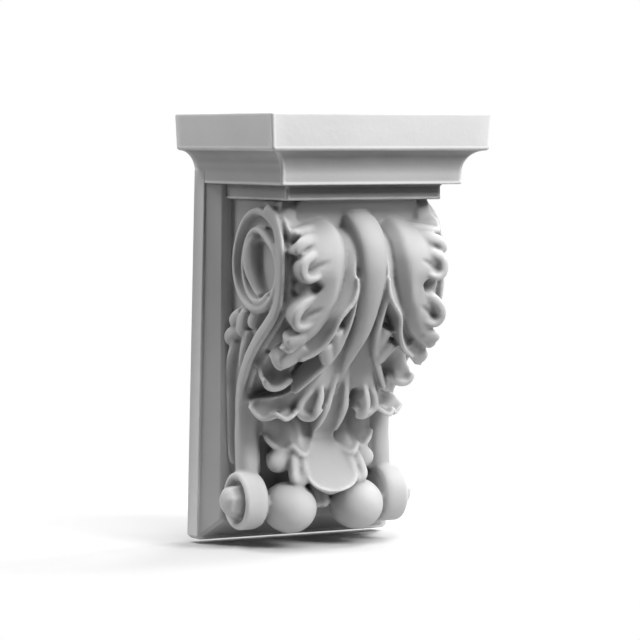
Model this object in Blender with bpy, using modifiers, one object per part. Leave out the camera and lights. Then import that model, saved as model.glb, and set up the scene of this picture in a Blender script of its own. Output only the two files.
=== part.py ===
"""A wall corbel with a moulded top, a scrolled bracket and an acanthus leaf.

Metres, +Z up. The origin is the middle of the flat back, which meets the wall;
the bracket reaches out to -Y. It is one casting, so it is one body.
"""
import math

import bmesh
import bpy
import numpy as np

# Sizes of the whole, in millimetres
HEIGHT = 300.0
TOP_WIDTH = 170.0
TOP_DEPTH = 149.0
FASCIA_HEIGHT = 25.0
FASCIA_LEAN = 1.2
CORNER_RADIUS = 2.5
COVE_INSET = 15.2
COVE_FOOT = 41.0
LIP_DROP = 49.0
BAND_SIDE_INSET = 25.0
BAND_FRONT_INSET = 27.5
BAND_FOOT = 59.5

# The plate that lies on the wall
PLATE_TOP_HALF_WIDTH = 67.9
PLATE_FOOT_HALF_WIDTH = 76.5
PLATE_TOP_DROP = 42.0
PLATE_EDGE = 15.6
PLATE_THICKNESS = 30.0
PLATE_BEVEL_SIDE = 11.0
PLATE_BEVEL_FOOT = 14.0
PLATE_CORNER = 2.5

# The rolls and balls at the foot; heights are measured up from the foot
ROLL_RADIUS = 20.4
ROLL_FORWARD = 50.9
ROLL_HEIGHT = 30.5
ROLL_INNER = 48.5
ROLL_OUTER = 64.3
ROLL_DISH = 5.3
HUB_RADIUS = 11.6
HUB_REACH = 74.2
BALL_ACROSS = 26.5
BALL_FORWARD = 60.5
BALL_HEIGHT = 25.2
BALL_HALF_WIDTH = 18.5
BALL_HALF_DEPTH = 22.0
BALL_HALF_HEIGHT = 18.2

# How finely the carving is fused and then thinned
GRAIN = 1.9
CARVED_FACES = 8300

# The carving is drawn on a corbel 170 across, 149 out and 300 up, and follows the sizes above
STRETCH = (TOP_WIDTH / 170, TOP_DEPTH / 149, HEIGHT / 300)
MM = 0.001


def drawn(across, forward, up):
    """A real place or size as it is drawn before the carving is stretched."""
    return across / STRETCH[0], forward / STRETCH[1], up / STRETCH[2]


def through(points, count):
    """Points of an even curve through the given ones."""
    p = np.asarray(points, float)
    if p.ndim == 1:
        p = p[:, None]
    last = len(p) - 1
    ends = np.vstack([2 * p[0] - p[1], p, 2 * p[-1] - p[-2]])
    out = []
    for t in np.linspace(0, last, count):
        i = min(int(t), last - 1)
        u = t - i
        a, b, c, d = ends[i:i + 4]
        bend = (2 * a - 5 * b + 4 * c - d) * u * u + (3 * b - a - 3 * c + d) * u ** 3
        out.append(0.5 * (2 * b + (c - a) * u + bend))
    return np.array(out)


def spread(value, count):
    """One value, or several spread evenly, as count values."""
    if np.isscalar(value):
        return np.full(count, float(value))
    return through(value, count)[:, 0]


def add_object(name, bm):
    """Turn a bmesh into an object with its faces outward."""
    bmesh.ops.recalc_face_normals(bm, faces=bm.faces)
    mesh = bpy.data.meshes.new(name)
    bm.to_mesh(mesh)
    bm.free()
    obj = bpy.data.objects.new(name, mesh)
    bpy.context.scene.collection.objects.link(obj)
    return obj


def put(bm, side, point):
    """A vertex from across, forward and up in millimetres."""
    return bm.verts.new((side * point[0] * MM, -point[1] * MM, point[2] * MM))


def loft(name, rings, side=1):
    """Closed body through rings that have equally many points."""
    bm = bmesh.new()
    rows = [[put(bm, side, p) for p in ring] for ring in rings]
    n = len(rows[0])
    for a, b in zip(rows, rows[1:]):
        for i in range(n):
            bm.faces.new((a[i], a[(i + 1) % n], b[(i + 1) % n], b[i]))
    bm.faces.new(rows[0][::-1])
    bm.faces.new(rows[-1])
    return add_object(name, bm)


def petal(name, points, widths, rise=4.0, sink=12.0, cup=0.0, lean=0.0, face=None, side=1,
          tip=True, root=False, count=26, around=20, blunt=0.3):
    """A finger of leaf swept along points, round on top and sunk below."""
    path = through(points, count)
    w, r, s = spread(widths, count), spread(rise, count), spread(sink, count)
    c, tilt = spread(cup, count), spread(lean, count)
    gone = np.concatenate([[0], np.cumsum(np.linalg.norm(np.diff(path, axis=0), axis=1))])
    half = around // 2
    rings = []
    for k in range(count):
        along = path[min(k + 1, count - 1)] - path[max(k - 1, 0)]
        along = along / np.linalg.norm(along)
        out = leaf_face(path[k][2]) if face is None else np.asarray(face, float)
        out = out - along * (out @ along)
        out = out / np.linalg.norm(out)
        across = np.cross(along, out)
        f = 1.0
        if tip:
            f = min(f, rounding((gone[-1] - gone[k]) / min(w[-1], gone[-1] / 2)))
        if root:
            f = min(f, rounding(gone[k] / min(w[0], gone[-1] / 2)))
        below = s[k] * (blunt + (1 - blunt) * f) / f
        ring = []
        for i in range(around):
            a = math.pi * i / half
            u = math.cos(a)
            v = r[k] * abs(math.sin(a)) ** 0.8 if i < half else -below * abs(math.sin(a))
            ring.append(path[k] + (across * u * w[k] + out * (v + c[k] * u * u + tilt[k] * u * w[k])) * f)
        rings.append(ring)
    return loft(name, rings, side)


def rounding(share):
    """How far a round end has opened at a share of its length."""
    q = 1 - min(share, 1.0)
    return max(math.sqrt(max(1 - q * q, 0.0)), 0.06)


def leaf_face(height):
    """The way the leaf faces at a height: its front falls away below."""
    heights = [-90, -72, -55, -38, -22, -5, 12, 30, 48, 64, 80, 92]
    fronts = [64, 65, 73, 84, 97, 111, 122, 130, 132, 127, 112, 104]
    above = np.interp(height + 6, heights, fronts)
    below = np.interp(height - 6, heights, fronts)
    out = np.array([0.0, 1.0, -(above - below) / 12])
    return out / np.linalg.norm(out)


def sheet(name, rows, depth, side=1, inward=(0, -1, 0), along=34, across=44, folds=(), sag=0.0, bead=0.0):
    """A leaf surface through rows of points: folded, hollowed, thickened inward, its free edge beaded."""
    lines = np.array([through(r, across) for r in rows])
    front = np.array([through(lines[:, j], along) for j in range(across)]).transpose(1, 0, 2)
    way = np.asarray(inward, float) / np.linalg.norm(inward)
    s = np.linspace(0, 1, across)
    dip = np.outer(spread(sag, along), np.ones(across))
    for place, half, deep in folds:
        dip = dip + spread(deep, along)[:, None] * np.exp(-(((s[None, :] - place) / half) ** 2))
    front = front + dip[:, :, None] * way
    back = front + np.maximum(spread(depth, along)[:, None] - dip, 2.0)[:, :, None] * way
    bm = bmesh.new()
    a = [[put(bm, side, p) for p in row] for row in front]
    b = [[put(bm, side, p) for p in row] for row in back]
    for i in range(along - 1):
        for j in range(across - 1):
            bm.faces.new((a[i][j], a[i][j + 1], a[i + 1][j + 1], a[i + 1][j]))
            bm.faces.new((b[i][j], b[i + 1][j], b[i + 1][j + 1], b[i][j + 1]))
        bm.faces.new((a[i][0], a[i + 1][0], b[i + 1][0], b[i][0]))
        bm.faces.new((a[i][-1], b[i][-1], b[i + 1][-1], a[i + 1][-1]))
    for j in range(across - 1):
        bm.faces.new((a[0][j], b[0][j], b[0][j + 1], a[0][j + 1]))
        bm.faces.new((a[-1][j], a[-1][j + 1], b[-1][j + 1], b[-1][j]))
    leaf = add_object(name, bm)
    if not bead:
        return leaf
    edge = front[-1] - way * bead * 0.2
    outward = tuple(-way - np.array([0, 0, 0.5]))
    rim = petal(name + " rim", edge, [bead * 0.5] + [bead] * 8 + [bead * 0.5], bead, bead * 2, face=outward,
                side=side, root=True, count=60, around=12)
    return joined([leaf, rim], name)


def spoon(name, points, widths, sink, cup, face, rim, side=1, count=30, blunt=0.3):
    """A dished finger with a raised rim that runs round its open end."""
    path = through(points, count)
    w, c = spread(widths, count), spread(cup, count)
    out = np.asarray(face, float) / np.linalg.norm(face)
    gone = np.concatenate([[0], np.cumsum(np.linalg.norm(np.diff(path, axis=0), axis=1))])
    left, right = [], []
    for k in range(0, count, 2):
        along = path[min(k + 1, count - 1)] - path[max(k - 1, 0)]
        across = np.cross(along / np.linalg.norm(along), out)
        across = across / np.linalg.norm(across)
        f = rounding((gone[-1] - gone[k]) / w[-1])
        left.append(path[k] + across * w[k] * f + out * c[k] * f)
        right.append(path[k] - across * w[k] * f + out * c[k] * f)
    dish = petal(name, points, widths, 0.3, sink, cup, 0, face, side, count=count, around=26, blunt=blunt)
    edge = left + [path[-1]] + right[::-1]
    rim_width = [rim * 0.6] + [rim] * 8 + [rim * 0.6]
    edge = petal(name + " rim", edge, rim_width, rim, rim * 2.2, face=face, side=side, root=True, count=90,
                 around=12)
    return joined([dish, edge], name)


def egg(name, centre, half, side=1):
    """A ball stretched along its three axes."""
    bm = bmesh.new()
    bmesh.ops.create_uvsphere(bm, u_segments=32, v_segments=20, radius=1.0)
    for v in bm.verts:
        x, f, z = (v.co[i] * half[i] + centre[i] for i in range(3))
        v.co = (side * x * MM, -f * MM, z * MM)
    return add_object(name, bm)


def turned(name, profile, centre, side=1, around=48, start=0.0):
    """A body turned about an axis that runs across: (place, radius) pairs in real sizes."""
    rings = []
    for x, r in profile:
        ring = []
        for i in range(around):
            a = 2 * math.pi * i / around + start
            ring.append(drawn(x, centre[0] + r * math.cos(a), centre[1] + r * math.sin(a)))
        rings.append(ring)
    return loft(name, rings, side)


def joined(objects, name):
    """Several objects as one."""
    bm = bmesh.new()
    for obj in objects:
        bm.from_mesh(obj.data)
        bpy.data.objects.remove(obj)
    return add_object(name, bm)


def applied(obj):
    """Apply every modifier of an object."""
    bpy.context.view_layer.update()
    deps = bpy.context.evaluated_depsgraph_get()
    mesh = bpy.data.meshes.new_from_object(obj.evaluated_get(deps))
    obj.modifiers.clear()
    obj.data = mesh


def fuse(obj, smooth_steps, faces=None):
    """One skin over bodies that overlap, softened and thinned."""
    fusing = obj.modifiers.new("fuse", "REMESH")
    fusing.mode = "VOXEL"
    fusing.voxel_size = GRAIN * MM
    soften = obj.modifiers.new("soften", "SMOOTH")
    soften.factor = 0.5
    soften.iterations = smooth_steps
    applied(obj)
    if faces:
        count = 2 * len(obj.data.polygons)
        thin = obj.modifiers.new("thin", "DECIMATE")
        thin.ratio = faces / count
        applied(obj)


def carve(obj, strokes, sunk):
    """Press strokes into the skin; a sunk one has a floor and steep walls."""
    mesh = obj.data
    co = np.empty(len(mesh.vertices) * 3)
    mesh.vertices.foreach_get("co", co)
    co = co.reshape(-1, 3) / MM * np.array([1, -1, 1])
    steps = 24
    for points, width, depth, way in strokes:
        for side in (-1, 1):
            flip = np.array([side, 1, 1])
            path = through(points, steps) * flip
            rad, dep = spread(width, steps), spread(depth, steps)
            way_in = np.asarray(way, float) / np.linalg.norm(way) * flip
            room = rad.max() + dep.max() + 6
            near = np.where(np.all((co > path.min(0) - room) & (co < path.max(0) + room), axis=1))[0]
            c = co[near]
            best = np.full(len(near), 9e9)
            height, deep = np.zeros(len(near)), np.zeros(len(near))
            for k in range(steps - 1):
                a, ab = path[k], path[k + 1] - path[k]
                flat_ab = ab - (ab @ way_in) * way_in
                off = c - a
                flat = off - (off @ way_in)[:, None] * way_in
                t = np.clip((flat @ flat_ab) / max(flat_ab @ flat_ab, 1e-9), 0, 1)
                gap = np.linalg.norm(flat - t[:, None] * flat_ab, axis=1)
                h = (c - (a + t[:, None] * ab)) @ way_in
                if not sunk:
                    gap = np.hypot(gap, h * 0.55)
                q = gap / (rad[k] + (rad[k + 1] - rad[k]) * t)
                nearer = q < best
                best = np.where(nearer, q, best)
                height = np.where(nearer, h, height)
                deep = np.where(nearer, dep[k] + (dep[k + 1] - dep[k]) * t, deep)
            inside = np.clip(best, 0, 1)
            if sunk:
                floor = deep * (1 - inside ** 4)
                move = np.where((best < 1) & (height < floor) & (height > -12), floor - height, 0.0)
            else:
                move = deep * (1 - inside ** 2) ** 2
            co[near] += way_in * move[:, None]
    mesh.vertices.foreach_set("co", (co * np.array([1, -1, 1]) * MM).ravel())
    mesh.update()


def level_outline(inset_side, inset_front, height, radius=2.0, steps=2):
    """The top cut level: square at the wall, rounded at the two front corners."""
    half = TOP_WIDTH / 2 - inset_side
    depth = TOP_DEPTH - inset_front
    out = [(-half, 0.0, height)]
    for side in (-1, 1):
        for i in range(steps + 1):
            a = math.pi / 2 * i / steps
            across = half - radius + radius * (math.cos(a) if side < 0 else math.sin(a))
            forward = depth - radius + radius * (math.sin(a) if side < 0 else math.cos(a))
            out.append((side * across, forward, height))
    out.append((half, 0.0, height))
    return out


def moulded_top():
    """Fascia, cove, lip and the set-in band below, lofted level by level."""
    top = HEIGHT / 2
    profile = []
    for i in range(3):
        a = math.pi / 4 * i
        profile.append((CORNER_RADIUS * (1 - math.sin(a)), top - CORNER_RADIUS * (1 - math.cos(a))))
    foot = top - FASCIA_HEIGHT
    for i in range(3):
        a = math.pi / 5 * i
        inset = FASCIA_LEAN + CORNER_RADIUS * (1 - math.cos(a))
        profile.append((inset, foot + CORNER_RADIUS * (1 - math.sin(a)) - 1))
    start_inset, start_height = profile[-1]
    steps = 6
    for i in range(1, steps + 1):
        a = math.pi / 2 * i / steps
        inset = start_inset + (COVE_INSET - start_inset) * math.sin(a)
        drop = (start_height - (top - COVE_FOOT)) * (1 - math.cos(a))
        profile.append((inset, start_height - drop))
    profile.append((COVE_INSET + 0.5, top - LIP_DROP + 2.2))
    profile.append((COVE_INSET + 0.9, top - LIP_DROP + 0.8))
    profile.append((COVE_INSET + 2.1, top - LIP_DROP))
    rings = [level_outline(i, i, z) for i, z in profile]
    band = ((-1.2, LIP_DROP), (0, LIP_DROP + 1.4), (0, BAND_FOOT - 2.0), (0.4, BAND_FOOT - 0.8),
            (1.6, BAND_FOOT))
    for more, drop in band:
        rings.append(level_outline(BAND_SIDE_INSET + more, BAND_FRONT_INSET + more, top - drop))
    return loft("moulded top", rings)


def wall_plate():
    """Tapered plate with a flat back, an edge and a raised, bevelled field."""
    def outline(forward, side_in, foot_in):
        wide, low = PLATE_FOOT_HALF_WIDTH - side_in, -HEIGHT / 2 + foot_in
        narrow = PLATE_TOP_HALF_WIDTH - side_in * 0.6
        c = PLATE_CORNER
        right = [(narrow, forward, HEIGHT / 2 - PLATE_TOP_DROP), (wide, forward, low + c),
                 (wide - c, forward, low)]
        return right + [(-x, f, z) for x, f, z in reversed(right)]
    rings = [outline(0, 0, 0), outline(PLATE_EDGE - 1.2, 0, 0), outline(PLATE_EDGE, 1.0, 1.0),
             outline(PLATE_THICKNESS - 0.5, PLATE_BEVEL_SIDE, PLATE_BEVEL_FOOT - 0.5),
             outline(PLATE_THICKNESS, PLATE_BEVEL_SIDE + 1, PLATE_BEVEL_FOOT + 0.7)]
    return loft("wall plate", rings)


# The scroll on the side face: its middle, and its reach and half width at every 45 degrees
VOLUTE_MIDDLE = (80, 42)
VOLUTE_START = 52
VOLUTE_REACH = (43, 42.5, 37.5, 33, 28.5, 28, 31, 34, 28.5, 26.5, 21, 14.5, 11.5, 9.5, 8)
VOLUTE_BAND = (4.5, 7, 7.5, 7.2, 7, 7, 7, 6.8, 6.6, 6.6, 6.2, 4.5, 4, 3.5, 3)
# The strap's side curve, forward and up, from under the band to the roll
STRAP = [(98, 86), (108, 80), (114.5, 71), (118, 60), (119, 46), (118, 31), (114.5, 20), (107.5, 11),
         (95.5, 1.5), (84.5, -6.5), (73, -17.5), (63.5, -29), (56.5, -38.5), (51.5, -50), (49.5, -62),
         (48.5, -76), (49.5, -92), (50, -102)]
# The bracket's solid middle follows the strap a little further in
WEB_HALF_WIDTH = 56
WEB = [(18, 97), (84, 97), (90, 90), (100, 80), (107, 70), (111, 56), (112, 42), (110, 28), (106, 17),
       (99, 8), (86, -1), (75, -10), (63, -23), (54, -35), (45, -50), (41, -62), (40, -125), (18, -128)]


def volute(side):
    """A band that winds inward, hollow between its rims, round a comma-shaped eye."""
    turns = len(VOLUTE_REACH) - 1
    count = 60
    reach = through(VOLUTE_REACH, count)[:, 0]
    band = through(VOLUTE_BAND, count)[:, 0]
    middle, rim = [], []
    for k in range(count):
        a = math.radians(VOLUTE_START + 45 * turns * k / (count - 1))
        for line, r, x in ((middle, reach[k] - band[k], 58.2), (rim, reach[k] - 1.0, 61.8)):
            line.append((x, VOLUTE_MIDDLE[0] + r * math.cos(a), VOLUTE_MIDDLE[1] + r * math.sin(a)))
    eye = [(58.5, 66, 64), (59.5, 69, 57), (60.3, 74, 50), (60.3, 79.5, 43.5), (60, 86, 36), (59.3, 91, 29)]
    return [
        petal("volute", middle, list(band), 0.6, 6, 2.6, [1.9 / b for b in band], (1, 0, 0), side,
              count=110),
        petal("volute rim", rim, [1.6] * 9 + [1.3], 2.2, 6, face=(1, 0, 0), side=side, count=110,
              around=14),
        petal("volute eye", eye, [1.6, 3.4, 4.6, 4.4, 3.2, 2.0], 3.2, 6, face=(1, 0, 0), side=side,
              root=True)]


def strap(side):
    """The strap with its raised edges, which fade where its middle swells towards the roll."""
    middles = [56] * 11 + [55.5, 55, 54.5] + [54] * 4
    swell = [1.0] * 11 + [1.6, 3.6, 5.6, 7.0, 7.6, 7.8, 7.8]
    bed = [(x, f - 3.4, z) for x, (f, z) in zip(middles, STRAP)]
    parts = [petal("strap", bed, 7.8, swell, 9, side=side, count=64, tip=False)]
    for shift, width, rise in ((6.0, 2.3, 3.0), (-5.6, 2.2, 2.8)):
        edge = [(x + shift, f - 0.3, z) for x, (f, z) in zip(middles, STRAP)]
        fading = [rise] * 12 + [rise * 0.8, rise * 0.5, rise * 0.25, 0.3, 0.3, 0.3]
        widths = [width] * 13 + [2.0, 1.7, 1.4, 1.0, 1.0]
        parts.append(petal("strap edge", edge, widths, fading, 7, side=side, count=64, tip=False))
    return parts


def foot(side):
    """Roll with a faceted hub where the strap ends, and the ball beside it."""
    r = ROLL_RADIUS
    middle = (ROLL_FORWARD, ROLL_HEIGHT - HEIGHT / 2)
    rim = [(ROLL_INNER, r - 1.9), (ROLL_INNER + 0.8, r - 0.6), (ROLL_INNER + 2.1, r), (ROLL_OUTER - 2.3, r),
           (ROLL_OUTER - 0.7, r - 0.7), (ROLL_OUTER, r - 2.2), (ROLL_OUTER - 0.2, r - 4.0),
           (ROLL_OUTER - 1.7, r - 5.2), (ROLL_OUTER - ROLL_DISH, r - 5.8)]
    h = HUB_RADIUS
    hub = [(ROLL_OUTER - 7.3, h), (HUB_REACH - 9, h), (HUB_REACH - 4, h * 0.88), (HUB_REACH - 1.2, h * 0.6),
           (HUB_REACH, h * 0.26)]
    ball = drawn(BALL_ACROSS, BALL_FORWARD, BALL_HEIGHT - HEIGHT / 2)
    ball_half = drawn(BALL_HALF_WIDTH, BALL_HALF_DEPTH, BALL_HALF_HEIGHT)
    return [turned("roll", rim, middle, side), turned("hub", hub, middle, side, around=7, start=0.3),
            egg("strap foot", (55.5, 51, -100), (8.6, 9.5, 5.5), side), egg("ball", ball, ball_half, side)]


# Leaf surfaces: rows of points from the root to the free edge
LOBES = {
    "first lobe": dict(
        rows=[
            [(19.5, 95, 76), (26, 95, 78.5), (36, 95, 78), (46, 94, 76)],
            [(18.5, 111, 73), (26, 113.5, 77), (36, 112, 76), (47, 110, 73)],
            [(18, 123.5, 65), (26, 128.5, 69), (38, 127, 68), (52, 122, 66)],
            [(18.5, 129.5, 55), (26, 136, 57), (40, 135, 57), (54, 129.5, 57)],
            [(20, 130.5, 43), (27.5, 138, 45), (39, 137.5, 43.5), (54, 133, 42)],
            [(22.5, 130, 32), (28.5, 137, 33), (34.5, 136.5, 33.5), (39.5, 135, 34)],
            [(26, 128, 20), (31, 134.5, 22), (37, 134, 24), (44, 130.5, 25)],
            [(30.5, 125, 10), (37, 130.5, 12), (44, 129.5, 13), (54, 125, 14)],
            [(36.5, 121.5, 0.5), (42, 126, 2.5), (48, 125.5, 4), (53, 123, 6)],
            [(44.5, 118.5, -6.5), (49, 121.5, -5.5), (53, 120.5, -5), (56, 118, -4)],
            [(54, 117, -13), (56, 118, -12), (58, 117.5, -11), (60, 116, -9.5)]],
        depth=[18, 22, 26, 27, 27, 26, 24, 20, 16, 12, 8], inward=(-0.05, -1, 0), along=60, across=40),
    "second lobe": dict(
        rows=[
            [(8, 92, 75), (15, 92, 76), (24, 91, 76)],
            [(9.2, 109, 72), (16, 107, 73), (24, 103, 73)],
            [(10, 124.5, 64), (16, 122, 64), (25, 115, 63)],
            [(10.8, 132, 50), (17, 128, 50), (27, 118.5, 48)],
            [(11.6, 134, 34), (18, 128.5, 35), (29, 117, 34)],
            [(15, 133.5, 21), (22, 128, 21.5), (33, 116.5, 22)],
            [(23, 130, 10.5), (28.5, 124.5, 11.5), (38, 113, 12)],
            [(26.5, 123.5, -2), (32, 117, 0.5), (44, 108.5, 2)],
            [(34, 116.5, -12.5), (41, 110, -8.5), (50, 105.5, -5)],
            [(46.5, 109.5, -20), (51, 105.5, -14), (57, 101, -10)],
            [(55, 103, -26), (58, 101, -21), (59, 98, -15)]],
        depth=[14, 18, 24, 26, 26, 24, 18, 10, 9, 8, 8], inward=(-0.1, -1, 0.05), along=66, across=36),
    "neck": dict(
        rows=[
            [(24, 80, 91), (38, 80, 91), (52, 83, 91)],
            [(29, 90, 85), (43, 92, 85), (58, 97, 87)],
            [(33, 103, 78), (45, 108, 77), (59, 115.5, 79)],
            [(36, 112, 73), (46, 116.5, 71), (59.5, 122.5, 72)],
            [(39, 118, 69), (48, 120.5, 67.5), (58, 124.5, 66.5)]],
        depth=[12, 12, 12, 12, 10], inward=(0, -1, 0), along=26, across=26),
    "skirt": dict(
        rows=[
            [(2, 117, 4), (6, 118, 10), (8, 119, 16), (9.6, 120, 22), (10.4, 121, 26), (11, 123, 31)],
            [(2, 105, -8), (6, 106, -5), (8.5, 107.5, -2), (10, 109.5, 2), (11, 112, 6), (11.6, 115, 10)],
            [(2, 94.5, -19), (6.5, 95.5, -17.5), (10, 98, -15.5), (12, 101, -12.5), (13, 104.5, -9),
             (13.8, 108, -5.5)],
            [(3, 89, -28), (9, 91, -28.5), (14, 94, -28), (18, 96.5, -27), (21, 97.5, -25.5),
             (23.5, 97.5, -25)],
            [(4, 85.5, -35), (10, 89, -37.5), (16, 91.5, -40), (23, 91, -40), (31, 87.5, -40),
             (37, 83, -43)],
            [(5, 82, -41), (11, 87, -43.5), (17, 90, -46), (25, 86.5, -47), (34, 81, -48), (44, 76, -49),
             (53, 71, -47)],
            [(6, 78, -47), (12, 85, -50), (18, 88, -53), (26, 83.5, -53), (35, 79.5, -54), (45, 75, -55),
             (57, 69, -50)],
            [(7, 75, -51), (12, 82, -54), (18, 85, -58), (25, 82, -58), (30.3, 81.5, -55.2),
             (34.5, 83, -57.8), (39, 84, -60.6), (42, 82.5, -60.6), (46, 79.5, -58.2), (48.5, 75, -60.4),
             (52.5, 70, -61), (57.1, 68.2, -57.5), (59.8, 67, -53.3)]],
        depth=[30, 30, 30, 30, 30, 24, 12, 5], inward=(0, -1, 0), along=70, across=100,
        sag=[0, 0, 0, 0, 1.5, 3.6, 4.2, 0], bead=1.7,
        folds=[(0.82, 0.1, [2.5, 2.5, 2.5, 3, 2.5, 0, 0, 0]), (0.5, 0.055, [0, 0, 0, 0, 0.5, 2, 3, 1]),
               (0.66, 0.03, [0, 0, 0, 0, -0.3, -0.8, -0.8, -0.3]),
               (0.83, 0.08, [0, 0, 0, 0, 1, 2, 2, 0.5])]),
    "lower skirt": dict(
        rows=[
            [(3, 52, -57), (18, 52.5, -57), (30, 51, -57), (44, 50, -58)],
            [(4, 54, -68), (18, 58.5, -70), (29, 54, -70), (43, 51, -66)],
            [(5, 54, -77), (10.5, 58.5, -79.5), (13.5, 62.5, -83), (18, 65.5, -85), (22, 66, -83.5),
             (25.5, 63, -80.2), (29, 59.5, -82), (33, 57.5, -81.6), (36.5, 56, -79.5), (40.3, 54.5, -76),
             (43, 52.5, -72)]],
        depth=[16, 14, 6], inward=(0, -1, 0.15), along=36, across=66, sag=[0, 2.5, 4, 0], bead=1.8,
        folds=[(0.45, 0.05, [0, 1.5, 1.6, 0.8]), (0.72, 0.1, [0, 1.6, 1.4, 0.8]),
               (0.2, 0.07, [0, 1, 1, 0.4])]),
    "G": dict(
        rows=[
            [(32, 88, -20), (41, 86, -16), (49, 84, -14), (55, 83, -15)],
            [(34, 84, -27), (42, 82.5, -25), (50, 82, -25), (57, 82, -22)],
            [(36.5, 84, -32), (41, 84, -35.5), (46, 84.5, -38.2), (51, 85.5, -39), (55.5, 84.5, -37.2),
             (59, 84.5, -31.5)]],
        depth=[18, 14, 6], inward=(0, -1, 0), along=30, across=44, sag=[0, 2.5, 3.5, 0], bead=1.7,
        folds=[(0.62, 0.16, [0, 1.5, 1.2])]),
}
# Fingers and ridges: points across, forward and up; half widths; rise; sink; cup; lean; face
FINGERS = {
    "long ridge": ([(11.6, 134, 36), (11.8, 132, 22), (12.2, 126, 9), (13, 119, -2), (14.8, 112, -11.5),
        (18.5, 105.5, -19.5), (26, 96, -30), (36.5, 83.5, -43.5)], [1.6, 1.9, 2.1, 2.2, 2.2, 2.2, 2.1, 1.5],
        2.8, 16, 0, 0),
    "lobe 2 edge": ([(11.8, 134.5, 38), (12.4, 134.5, 30), (15.5, 133.8, 21), (23.2, 130.3, 10.5),
        (27, 124, -2), (34, 117, -12.8), (45, 110.5, -19.5)], [1.2, 1.5, 1.6, 1.6, 1.6, 1.6, 1.2], 1.4, 8,
        0, 0),
    "stem ridge": ([(2, 95, -17), (3, 91, -24), (4.4, 87.5, -34), (6, 84, -45), (7.2, 80, -55),
        (7.6, 72.5, -64), (8.4, 62, -73)], [1.2, 1.6, 2, 2.3, 2.4, 2.1, 1], 1.6, 12, 0, 0),
    "A": ([(38, 115, 72), (48, 120.5, 70.5), (57.5, 123.5, 68.5)], [4.5, 4.4, 3.4], 3, 10, 0, -0.4),
    "B": ([(40, 125, 64), (47.5, 129, 63.5), (53, 131, 61.5), (55.5, 131, 57.5), (54.5, 130.5, 54)],
        [5.6, 5, 4.2, 3.8, 3.2], [3.4, 3.8, 3.6, 3.2, 2.6], 18, 0, 0),
    "C": ([(40, 130, 54.5), (47, 133.5, 53.5), (52.5, 135, 50.5), (54.4, 135, 45.5), (53.8, 134.8, 40.5),
        (50.2, 135, 37.6), (45.5, 135.8, 38.4), (41.5, 136, 40.6)], [4.6, 4, 3.6, 3.3, 3.1, 2.8, 2.2, 1.4],
        [2.6, 3, 3, 3, 2.8, 2.6, 2.2, 1.4], 20, 0, 0),
    "D": ([(40, 126.5, 23.5), (48, 129, 22.5), (53.5, 129.5, 18.5), (56.3, 128.5, 13), (56.2, 127, 8),
        (52.8, 126, 4.8), (47.5, 126.5, 5.6), (43, 127.5, 8.4)], [4.8, 4, 3.6, 3.4, 3.1, 2.8, 2.2, 1.4],
        [2.2, 3, 3.2, 3.2, 2.8, 2.4, 2, 1.4], 18, 0, 0),
    "gap floor": ([(36, 120, 31), (45, 122.5, 30.5), (54.5, 121, 30)], [9, 9, 9], 2, 14, 0, 0),
    "E": ([(47, 121, -2), (54, 120, -4.5), (59.5, 118, -6.5)], [5, 5, 4], 3, 12, 0, 0),
    "F": ([(40, 110, -10), (49, 107.5, -15.5), (57, 104, -22)], [5.5, 6.2, 5.2], 3, 12, 0, -0.2),
    "s1": ([(20, 118, 2), (17.5, 112, -6.5), (15.8, 107, -13)], [4.4, 4.2, 3.8], 4, 10, 0, 0),
    "s2": ([(27, 113, -8), (22.5, 107.5, -15), (19.3, 103, -22)], [5, 4.8, 4.2], 4.2, 10, 0, 0),
    "V1": ([(26, 51, -86), (32, 50, -91), (34.5, 49, -95)], [8, 8.8, 8.4], 5.5, 10, 0, 0),
    "side lobe 1": ([(58, 58, 14), (59.5, 54, 4), (59.5, 52, -5)], [4, 6, 5.6], 3.4, 6, 0, 0, (1, 0, 0)),
    "side lobe 2": ([(58, 76, 14), (59.5, 71, 8), (59.5, 67, 2)], [4, 5, 4.4], 3, 6, 0, 0, (1, 0, 0)),
    "side lobe 3": ([(58, 50, 12), (59.5, 43, 7), (59.5, 38, 2)], [4, 5.4, 5], 3.2, 6, 0, 0, (1, 0, 0)),
    "side lobe 4": ([(58, 46, 0), (59.3, 35, -5), (59.3, 29, -10)], [4, 5.6, 5], 3.2, 6, 0, 0, (1, 0, 0)),
    "side lobe 5": ([(58, 60, 0), (59, 55, -14), (58.5, 50, -26)], [4, 4, 2], 2.4, 6, 0, 0, (1, 0, 0)),
    "side tail": ([(58, 40, -8), (58.8, 33, -22), (58.8, 30, -36), (58.6, 32, -51), (58.2, 32, -79),
        (57.5, 34, -96)], [3, 3.2, 3, 2.6, 2.2, 1.4], 2.4, 6, 0, 0, (1, 0, 0)),
}
# Dished fingers: points; half widths; sink; cup; face; rim
SPOONS = {
    "oval": ([(18, 89, -36), (20.2, 87, -44), (22.9, 83, -53), (22.6, 79, -61)], [1.2, 4.4, 6.4, 5.9],
        [22, 20, 14, 8], [0, 2.2, 3.4, 3.2], (0.42, 0.88, 0.2), 2.1),
    "V2": ([(17, 59, -82), (19.6, 60, -94), (21.4, 61.5, -107.5)], [2.6, 4.2, 5], [12, 12, 10], [2, 4.2, 4],
        (0.15, 0.97, 0.2), 2.5),
}
# Holes: points on the skin; half widths; depth; way in
HOLES = [
    ([(13, 88, -43), (12.4, 85, -48.5), (11.4, 81, -54)], [2.6, 2.6, 1.8], 15, (0.05, -1, 0)),
]
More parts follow.
